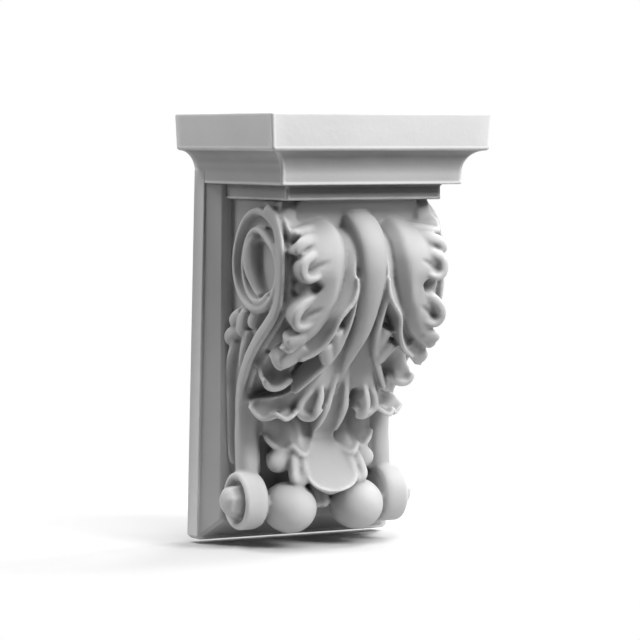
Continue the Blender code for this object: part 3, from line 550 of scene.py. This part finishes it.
FINGERS = {
    "long ridge": ([(11.4, 133, 36), (11.5, 129.5, 22), (11.8, 122.5, 9), (12.8, 115.5, -2),
        (14.8, 110, -11.5), (18.5, 104.5, -19.5), (26, 96, -30), (36.5, 83.5, -43.5)], [1.6, 1.9, 2.1,
        2.2, 2.2, 2.2, 2.1, 1.5], 2.8, 16, 0, 0),
    "lobe 2 edge": ([(11.8, 134.5, 38), (12.4, 134.5, 30), (15.5, 133.8, 21), (23.2, 130.3, 10.5),
        (27, 124, -2), (34, 117, -12.8), (45, 110.5, -19.5)], [1.2, 1.5, 1.6, 1.6, 1.6, 1.6, 1.2], 1.4,
        8, 0, 0),
    "stem ridge": ([(2, 95, -17), (3, 91, -24), (4.4, 87.5, -34), (6, 84, -45), (7.2, 80, -55),
        (7.6, 72.5, -64), (8.4, 62, -73)], [1.2, 1.6, 2, 2.3, 2.4, 2.1, 1], 1.6, 12, 0, 0),
    "top flap": ([(38, 115, 72), (48, 120.5, 70.5), (57.5, 123.5, 68.5)], [4.5, 4.4, 3.4], 3, 10, 0,
        -0.4),
    "upper curl": ([(40, 125, 64), (47.5, 129, 63.5), (53, 131, 61.5), (55.5, 131, 57.5),
        (54.5, 130.5, 54)], [5.6, 5, 4.2, 3.8, 3.2], [3.4, 3.8, 3.6, 3.2, 2.6], 18, 0, 0),
    "hooked curl": ([(40, 130, 54.5), (47, 133.5, 53.5), (52.5, 135, 50.5), (54.4, 135, 45.5),
        (53.8, 134.8, 40.5), (50.2, 135, 37.6), (45.5, 135.8, 38.4), (41.5, 136, 40.6)], [4.6, 4, 3.6,
        3.3, 3.1, 2.8, 2.2, 1.4], [2.6, 3, 3, 3, 2.8, 2.6, 2.2, 1.4], 20, 0, 0),
    "lower hooked curl": ([(40, 126.5, 23.5), (48, 129, 22.5), (53.5, 129.5, 18.5), (56.3, 128.5, 13),
        (56.2, 127, 8), (52.8, 126, 4.8), (47.5, 126.5, 5.6), (43, 127.5, 8.4)], [4.8, 4, 3.6, 3.4, 3.1,
        2.8, 2.2, 1.4], [2.2, 3, 3.2, 3.2, 2.8, 2.4, 2, 1.4], 18, 0, 0),
    "gap floor": ([(38, 124, 33.5), (46, 126.5, 32.5), (55, 125, 31.5)], [7, 8, 8], 1.4, 14, 0, 0),
    "lobe tip": ([(47, 121, -2), (54, 120, -4.5), (59.5, 118, -6.5)], [5, 5, 4], 3, 12, 0, 0),
    "low lobe tip": ([(40, 110, -10), (49, 107.5, -15.5), (57, 104, -22)], [5.5, 6.2, 5.2], 3, 12, 0,
        -0.2),
    "inner bud": ([(20, 118, 2), (17.5, 112, -6.5), (15.8, 107, -13)], [4.4, 4.2, 3.8], 4, 10, 0, 0),
    "outer bud": ([(27, 113, -8), (22.5, 107.5, -15), (19.3, 103, -22)], [5, 4.8, 4.2], 4.2, 10, 0, 0),
    "low lobe": ([(28, 56, -87), (34, 57, -93.5), (37.5, 54, -99)], [7, 8.4, 8.4], 6, 14, 0, 0),
    "side lobe 1": ([(58, 58, 14), (59.5, 54, 4), (59.5, 52, -5)], [4, 6, 5.6], 3.4, 6, 0, 0,
        (1, 0, 0)),
    "side lobe 2": ([(58, 76, 14), (59.5, 71, 8), (59.5, 67, 2)], [4, 5, 4.4], 3, 6, 0, 0, (1, 0, 0)),
    "side lobe 3": ([(58, 50, 12), (59.5, 43, 7), (59.5, 38, 2)], [4, 5.4, 5], 3.2, 6, 0, 0, (1, 0, 0)),
    "side lobe 4": ([(58, 46, 0), (59.3, 35, -5), (59.3, 29, -10)], [4, 5.6, 5], 3.2, 6, 0, 0,
        (1, 0, 0)),
    "side lobe 5": ([(58, 60, 0), (59, 55, -14), (58.5, 50, -26)], [4, 4, 2], 2.4, 6, 0, 0, (1, 0, 0)),
    "side tail": ([(58, 40, -8), (58.8, 33, -22), (58.8, 30, -36), (58.6, 32, -51), (58.2, 32, -79),
        (57.5, 34, -96)], [3, 3.2, 3, 2.6, 2.2, 1.4], 2.4, 6, 0, 0, (1, 0, 0)),
}
SPOONS = {
    "dished finger": ([(18, 89, -36), (20.2, 87, -44), (22.9, 83, -53), (22.6, 79, -61)], [1.2, 4.2, 6,
        5.6], [22, 20, 14, 8], [0, 2, 3.2, 3], (0.42, 0.88, 0.2), 2.8),
    "low dished finger": ([(19, 56, -83), (21.6, 64.5, -94), (23.2, 70, -106)], [2.4, 3.7, 4.3], [14,
        16, 16], [1.5, 1.8, 1.8], (0.15, 0.97, 0.2), 3.6),
}


def joined(objects, name):
    """Several objects as one."""
    bm = bmesh.new()
    for obj in objects:
        bm.from_mesh(obj.data)
        bpy.data.objects.remove(obj)
    return add_object(name, bm)


def sheet(name, rows, depth, side, inward, along, across, folds=(), sag=0.0, bead=0.0):
    """A leaf surface through rows of points: folded, hollowed, thick inward, its free edge beaded."""
    lines = np.array([through(r, across) for r in rows])
    front = np.array([through(lines[:, j], along) for j in range(across)]).transpose(1, 0, 2)
    way = np.asarray(inward, float) / np.linalg.norm(inward)
    s = np.linspace(0, 1, across)
    dip = np.outer(spread(sag, along), np.ones(across))
    for place, half, deep in folds:
        dip = dip + spread(deep, along)[:, None] * np.exp(-(((s[None, :] - place) / half) ** 2))
    front = front + dip[:, :, None] * way
    back = front + np.maximum(spread(depth, along)[:, None] - dip, 2.0)[:, :, None] * way
    bm = bmesh.new()
    a = [[put(bm, side, p) for p in row] for row in front]
    b = [[put(bm, side, p) for p in row] for row in back]
    for i in range(along - 1):
        for j in range(across - 1):
            bm.faces.new((a[i][j], a[i][j + 1], a[i + 1][j + 1], a[i + 1][j]))
            bm.faces.new((b[i][j], b[i + 1][j], b[i + 1][j + 1], b[i][j + 1]))
        bm.faces.new((a[i][0], a[i + 1][0], b[i + 1][0], b[i][0]))
        bm.faces.new((a[i][-1], b[i][-1], b[i + 1][-1], a[i + 1][-1]))
    for j in range(across - 1):
        bm.faces.new((a[0][j], b[0][j], b[0][j + 1], a[0][j + 1]))
        bm.faces.new((a[-1][j], a[-1][j + 1], b[-1][j + 1], b[-1][j]))
    leaf = add_object(name, bm)
    if not bead:
        return leaf
    edge = front[-1] - way * bead * 0.2
    outward = tuple(-way - np.array([0, 0, 0.5]))
    rim = petal(name + " rim", edge, [bead * 0.5] + [bead] * 8 + [bead * 0.5], bead, bead * 2,
                face=outward, side=side, root=True, count=60, around=12)
    return joined([leaf, rim], name)


def spoon(name, points, widths, sink, cup, face, rim, side=1, count=30, blunt=0.3, fade=False,
          end=None):
    """A dished finger with a raised rim round its open end, which may fade towards its root."""
    path = through(points, count)
    w, c = spread(widths, count), spread(cup, count)
    out = np.asarray(face, float) / np.linalg.norm(face)
    gone = np.concatenate([[0], np.cumsum(np.linalg.norm(np.diff(path, axis=0), axis=1))])
    left, right = [], []
    for k in range(0, count, 2):
        along = path[min(k + 1, count - 1)] - path[max(k - 1, 0)]
        across = np.cross(along / np.linalg.norm(along), out)
        across = across / np.linalg.norm(across)
        f = rounding((gone[-1] - gone[k]) / (end or w[-1]))
        left.append(path[k] + across * w[k] * f + out * c[k] * f)
        right.append(path[k] - across * w[k] * f + out * c[k] * f)
    dish = petal(name, points, widths, 0.3, sink, cup, 0, face, side, count=count, around=26,
                 blunt=blunt, end=end)
    edge = left + [path[-1]] + right[::-1]
    shares = (0.6, 1, 1, 1, 1, 1, 1, 0.6)
    if fade:
        shares = (0.15, 0.35, 0.6, 0.85, 1, 1, 0.85, 0.6, 0.35, 0.15)
    rim_width = [rim * share for share in shares]
    edge = petal(name + " rim", edge, rim_width, rim_width, rim * 2.2, face=face, side=side, root=True,
                 count=90, around=12)
    return joined([dish, edge], name)


def leaf_half(side):
    """Lobes, fingers and dished fingers of one side."""
    parts = [sheet(name, side=side, **lobe) for name, lobe in LOBES.items()]
    for name, finger in FINGERS.items():
        parts.append(petal(name, *finger, side=side, count=40, around=22))
    for name, finger in SPOONS.items():
        parts.append(spoon(name, *finger, side=side))
    return parts


def leaf_middle():
    """Rib, stem, tongue with its neck, two buds behind it, and the body they lie on."""
    rib = [(0, 98, 78), (0, 108, 78.5), (0, 120.5, 73), (0, 130.5, 61.5), (0, 134, 47), (0, 131.5, 32),
           (0, 125, 16), (0, 116, 1), (0, 104, -12), (0, 92, -25), (0, 84, -36), (0, 78, -46)]
    rib_width = [8, 10.6, 10.8, 10.2, 9.4, 8.4, 7.6, 6.4, 5.0, 2.8, 1.6, 1.0]
    rib_rise = [4, 5.5, 6.5, 7, 6.5, 6.5, 6.5, 6, 4.5, 3.2, 2, 0.5]
    stem = [(0, 93, -20), (0, 84, -35), (0, 77.5, -45), (0, 71.5, -55), (0, 65.5, -64), (0, 61, -71),
            (0, 60, -77)]
    tongue = [(0, 57, -61), (0, 57.5, -71), (0, 60.5, -80), (0, 65, -89), (0, 70.5, -98),
              (0, 75.5, -106), (0, 79.5, -113)]
    tongue_width = [7.4, 7.4, 9.8, 13.8, 17.4, 19.0, 18.6]
    tongue_cup = [0.2, 0.3, 0.6, 1.0, 1.4, 1.6, 1.6]
    core = [(0, 117, 97), (0, 114, 90), (0, 107, 81), (0, 108, 64), (0, 115, 46), (0, 113, 28),
            (0, 104, 12), (0, 91, -5), (0, 75, -20), (0, 60, -34), (0, 48, -50), (0, 42, -66),
            (0, 40, -95), (0, 40, -120)]
    core_width = [42, 45, 51, 54, 53, 53, 53, 53, 52, 50, 48, 46, 44, 40]
    return [
        petal("rib", rib, rib_width, rib_rise, 18, root=True, tip=False, count=60, around=24),
        petal("stem", stem, [5, 6.5, 7.5, 8.5, 8.5, 8.8, 9], 0.8, 22, 0.8, tip=False),
        spoon("tongue", tongue, tongue_width, 9, tongue_cup, (0, 0.88, 0.47), 0.9, count=54, blunt=0.8,
              fade=True, end=11),
        petal("neck of tongue", [(0, 52, -62), (0, 50, -80), (0, 48, -98)], 13, 3, 10, tip=False),
        petal("bud", [(2.8, 46, -100), (3.2, 54, -115), (2.8, 58, -127)], [3.4, 4.2, 3.4], 4, 8),
        petal("bud", [(-2.8, 46, -100), (-3.2, 54, -115), (-2.8, 58, -127)], [3.4, 4.2, 3.4], 4, 8),
        petal("body", core, core_width, 3, 38, face=(0, 1, 0), around=40, count=50, tip=False)]


clay += leaf_middle()
for side in (-1, 1):
    clay += leaf_half(side)


# The forms are fused, a slot beside the stem is cut in, the creases and flutes
# are pressed, and the skin is fused once more, smoothed and thinned.
GRAIN = 1.0
SKIN_TRIANGLES = 190000
STROKE_STEPS = 24
HOLES = [
    ([(13, 88, -43), (12.4, 85, -48.5), (11.4, 81, -54)], [2.6, 2.6, 1.8], 15, (0.05, -1, 0)),
]
FLUTES = [
    ([(9.6, 118, 73), (9.8, 130, 60), (10.2, 133, 45), (10.2, 132, 28), (8.6, 126, 12), (7, 117, -2),
      (5, 104, -14)], 2, [3, 5, 6, 6, 5, 4, 1], (0, -1, 0)),
    ([(36, 139, 49.5), (43, 139, 47), (49.5, 137, 43)], [2, 3, 3.2], [0.4, 2.8, 3.4], (-0.1, -1, 0)),
    ([(39, 132, 17.5), (45, 131.5, 14.5), (51.5, 129, 10.5)], [2, 3, 3.2], [0.6, 2.8, 3.4], (-0.1, -1, 0)),
    ([(59.1, 116, 72), (59.1, 121, 60), (59.1, 122, 46), (59.1, 121, 31), (59.1, 117, 20), (59.1, 110, 11),
      (58.6, 98, 1), (58, 87, -7), (57.5, 75, -18), (57, 65, -29), (57, 58, -39)], 2.4,
      [1, 1.6, 1.8, 1.8, 2, 2.2, 2.4, 2.4, 2.2, 1.6, 0.6], (0, -1, 0)),
]


def applied(obj):
    """Apply every modifier of an object."""
    bpy.context.view_layer.update()
    deps = bpy.context.evaluated_depsgraph_get()
    mesh = bpy.data.meshes.new_from_object(obj.evaluated_get(deps))
    obj.modifiers.clear()
    obj.data = mesh


def fuse(obj, smooth_steps, faces=None):
    """One skin over bodies that overlap, softened and thinned."""
    fusing = obj.modifiers.new("fuse", "REMESH")
    fusing.mode = "VOXEL"
    fusing.voxel_size = GRAIN * MM
    soften = obj.modifiers.new("soften", "SMOOTH")
    soften.factor = 0.5
    soften.iterations = smooth_steps
    applied(obj)
    if faces:
        count = 2 * len(obj.data.polygons)
        thin = obj.modifiers.new("thin", "DECIMATE")
        thin.ratio = faces / count
        applied(obj)
        obj.data.validate()


def carve(obj, strokes, sunk):
    """Press strokes into both halves of the skin; a sunk one has a floor and steep walls."""
    mesh = obj.data
    co = np.empty(len(mesh.vertices) * 3)
    mesh.vertices.foreach_get("co", co)
    co = co.reshape(-1, 3) / MM * np.array([1, -1, 1])
    steps = STROKE_STEPS
    for points, width, depth, way in strokes:
        for side in (-1, 1):
            flip = np.array([side, 1, 1])
            path = through(points, steps) * flip
            rad, dep = spread(width, steps), spread(depth, steps)
            way_in = np.asarray(way, float) / np.linalg.norm(way) * flip
            room = rad.max() + dep.max() + 6
            near = np.where(np.all((co > path.min(0) - room) & (co < path.max(0) + room), axis=1))[0]
            c = co[near]
            best = np.full(len(near), 9e9)
            height, deep = np.zeros(len(near)), np.zeros(len(near))
            for k in range(steps - 1):
                a, ab = path[k], path[k + 1] - path[k]
                flat_ab = ab - (ab @ way_in) * way_in
                off = c - a
                flat = off - (off @ way_in)[:, None] * way_in
                t = np.clip((flat @ flat_ab) / max(flat_ab @ flat_ab, 1e-9), 0, 1)
                gap = np.linalg.norm(flat - t[:, None] * flat_ab, axis=1)
                h = (c - (a + t[:, None] * ab)) @ way_in
                if not sunk:
                    gap = np.hypot(gap, h * 0.55)
                q = gap / (rad[k] + (rad[k + 1] - rad[k]) * t)
                nearer = q < best
                best = np.where(nearer, q, best)
                height = np.where(nearer, h, height)
                deep = np.where(nearer, dep[k] + (dep[k + 1] - dep[k]) * t, deep)
            inside = np.clip(best, 0, 1)
            if sunk:
                floor = deep * (1 - inside ** 4)
                move = np.where((best < 1) & (height < floor) & (height > -12), floor - height, 0.0)
            else:
                move = deep * (1 - inside ** 2) ** 2
            co[near] += way_in * move[:, None]
    mesh.vertices.foreach_set("co", (co * np.array([1, -1, 1]) * MM).ravel())
    mesh.update()


bracket = joined(clay, "corbel_bracket")
fuse(bracket, 1)
carve(bracket, HOLES, sunk=True)
carve(bracket, FLUTES, sunk=False)
fuse(bracket, 2, SKIN_TRIANGLES)
finish_piece(bracket, LOWER_PLASTER_PAINTED_DARKER, True)


# The plaster's edges should be lighter and its hollows darker than these lamps
# alone make them. So light and shade are painted into the colour at each point:
# a painted highlight where the surface bends out, and painted shade where it
# bends in and where it is closed in.
HOLLOW_PAINTED_SHADE = 0.74
EDGE_PAINTED_HIGHLIGHT = 1.32
SHELTER_RAYS = 36
RAY_START = 0.0006
FLATTEST_RAY = 0.15


def points_of(mesh):
    """Places and normals of a mesh as arrays."""
    place, normal = np.empty(len(mesh.vertices) * 3), np.empty(len(mesh.vertices) * 3)
    mesh.vertices.foreach_get("co", place)
    mesh.vertices.foreach_get("normal", normal)
    return place.reshape(-1, 3), normal.reshape(-1, 3)


def around_sphere(count):
    """Evenly spread directions."""
    k = np.arange(count) + 0.5
    up, turn = 1 - 2 * k / count, math.pi * (1 + math.sqrt(5)) * k
    flat = np.sqrt(1 - up * up)
    return np.column_stack([flat * np.cos(turn), flat * np.sin(turn), up])


def shelter(place, normal, tree, reach):
    """How much of the view outward from each point is closed off within reach."""
    ways = around_sphere(SHELTER_RAYS)
    closed = np.zeros(len(place))
    facing = normal @ ways.T
    rays = [Vector(way) for way in ways]
    for i, (p, n) in enumerate(zip(place, normal)):
        start = Vector(p + n * RAY_START)
        total = hit = 0.0
        for j in np.flatnonzero(facing[i] > FLATTEST_RAY):
            total += facing[i, j]
            if tree.ray_cast(start, rays[j], reach)[0] is not None:
                hit += facing[i, j]
        closed[i] = hit / max(total, 1.0)
    return closed


def paint_light_and_shade(piece, tree, rounds, depth, reach, sharp):
    """Store each point's painted light and shade, evened out in rounds: a painted highlight on edges,
    painted shade in hollows and where closed in.
    """
    mesh = piece.data
    count = len(mesh.vertices)
    place, normal = points_of(mesh)
    ends = np.empty(len(mesh.edges) * 2, int)
    mesh.edges.foreach_get("vertices", ends)
    a, b = ends.reshape(-1, 2).T
    way = (place[b] - place[a]) / MM
    bend = ((normal[b] - normal[a]) * way).sum(1) / np.maximum((way * way).sum(1), 1e-6)
    meeting = np.bincount(a, minlength=count) + np.bincount(b, minlength=count)
    curve = (np.bincount(a, bend, count) + np.bincount(b, bend, count)) / meeting
    closed = shelter(place, normal, tree, reach)
    for _ in range(rounds):
        for line in (curve, closed):
            near = np.bincount(a, line[b], count) + np.bincount(b, line[a], count)
            line[:] = (line + near / meeting) / 2
    share = np.clip(curve / sharp, -1, 1)
    tone = np.where(share > 0, 1 + (EDGE_PAINTED_HIGHLIGHT - 1) * share, 1 + (1 - HOLLOW_PAINTED_SHADE) * share)
    tone = tone * (1 - depth * closed)
    shade = np.repeat(tone[:, None], 4, axis=1)
    shade[:, 3] = 1
    painted_light_and_shade = mesh.color_attributes.new("painted_light_and_shade", "FLOAT_COLOR", "POINT")
    painted_light_and_shade.data.foreach_set("color", shade.ravel())


corners, faces = [], []
for piece in (top, plate, bracket):
    first = len(corners)
    corners += [v.co for v in piece.data.vertices]
    faces += [[first + i for i in face.vertices] for face in piece.data.polygons]
whole = BVHTree.FromPolygons(corners, faces)
# The top's colour gets the deepest painted shade where it is closed in; the plate and bracket get less.
paint_light_and_shade(top, whole, rounds=0, depth=1.0, reach=0.06, sharp=0.06)
paint_light_and_shade(plate, whole, rounds=0, depth=0.1, reach=0.03, sharp=0.22)
paint_light_and_shade(bracket, whole, rounds=4, depth=0.2, reach=0.03, sharp=0.22)


# The corbel stands upright just above a white table that fades into the white
# background, under large soft lamps in front of it, on its right and behind it.
FLOOR_REACH = 0.75
FLOOR_GAP = 3.0
FLOOR_FADE_FROM = 0.16
FLOOR_FADE_TO = 0.40
LAMP_SIZE = 1.0
LAMP_DISTANCE = 2.6
ROOM_GLOW = 0.09
floor_mesh = bpy.data.meshes.new("floor")
level = -(HEIGHT / 2 + FLOOR_GAP) * MM
corners = [(-FLOOR_REACH, -FLOOR_REACH, level), (FLOOR_REACH, -FLOOR_REACH, level),
           (FLOOR_REACH, FLOOR_REACH, level), (-FLOOR_REACH, FLOOR_REACH, level)]
floor_mesh.from_pydata(corners, [], [(0, 1, 2, 3)])
floor = bpy.data.objects.new("floor", floor_mesh)
bpy.context.scene.collection.objects.link(floor)


def fading_white():
    """A white table top that thins out to nothing away from the corbel."""
    mat = bpy.data.materials.new("white table")
    mat.use_nodes = True
    nodes, links = mat.node_tree.nodes, mat.node_tree.links
    shader = nodes["Principled BSDF"]
    shader.inputs["Base Color"].default_value = (0.5, 0.5, 0.5, 1)
    shader.inputs["Roughness"].default_value = 0.9
    shader.inputs["Specular IOR Level"].default_value = 0.0
    place = nodes.new("ShaderNodeTexCoord")
    flat = nodes.new("ShaderNodeVectorMath")
    flat.operation = "MULTIPLY"
    flat.inputs[1].default_value = (1, 1, 0)
    away = nodes.new("ShaderNodeVectorMath")
    away.operation = "LENGTH"
    fade = nodes.new("ShaderNodeMapRange")
    fade.interpolation_type = "SMOOTHSTEP"
    fade.inputs["From Min"].default_value = FLOOR_FADE_FROM
    fade.inputs["From Max"].default_value = FLOOR_FADE_TO
    fade.inputs["To Min"].default_value = 1.0
    fade.inputs["To Max"].default_value = 0.0
    links.new(place.outputs["Object"], flat.inputs[0])
    links.new(flat.outputs["Vector"], away.inputs[0])
    links.new(away.outputs["Value"], fade.inputs["Value"])
    links.new(fade.outputs["Result"], shader.inputs["Alpha"])
    return mat


floor_mesh.materials.append(fading_white())


def lamp(name, around, up, power):
    """A square soft lamp at an angle around and above the corbel, turned to it."""
    data = bpy.data.lights.new(name, "AREA")
    data.size = LAMP_SIZE
    data.energy = power
    obj = bpy.data.objects.new(name, data)
    a, e = math.radians(around), math.radians(up)
    aim = Vector((0, -0.08, 0))
    way = Vector((math.sin(a) * math.cos(e), -math.cos(a) * math.cos(e), math.sin(e)))
    obj.location = aim + LAMP_DISTANCE * way
    obj.rotation_euler = (aim - obj.location).to_track_quat("-Z", "Y").to_euler()
    bpy.context.scene.collection.objects.link(obj)


lamp("front lamp", 0, 55, 22)
lamp("high front lamp", 0, 72, 28)
lamp("right front lamp", 30, 35, 66)
lamp("right lamp", 90, 55, 58)
lamp("back left lamp", -135, 55, 42)
lamp("low back left lamp", -135, 15, 18)
lamp("low back right lamp", 135, 15, 50)
world = bpy.data.worlds.new("room")
world.use_nodes = True
room = world.node_tree.nodes
wires = world.node_tree.links
seen = room.new("ShaderNodeLightPath")
paper = room.new("ShaderNodeBackground")
paper.inputs["Color"].default_value = (1, 1, 1, 1)
glow = room["Background"]
glow.inputs["Color"].default_value = (1, 1, 1, 1)
glow.inputs["Strength"].default_value = ROOM_GLOW
either = room.new("ShaderNodeMixShader")
wires.new(seen.outputs["Is Camera Ray"], either.inputs["Fac"])
wires.new(glow.outputs["Background"], either.inputs[1])
wires.new(paper.outputs["Background"], either.inputs[2])
wires.new(either.outputs["Shader"], room["World Output"].inputs["Surface"])
bpy.context.scene.world = world
bpy.context.scene.view_settings.view_transform = "Standard"
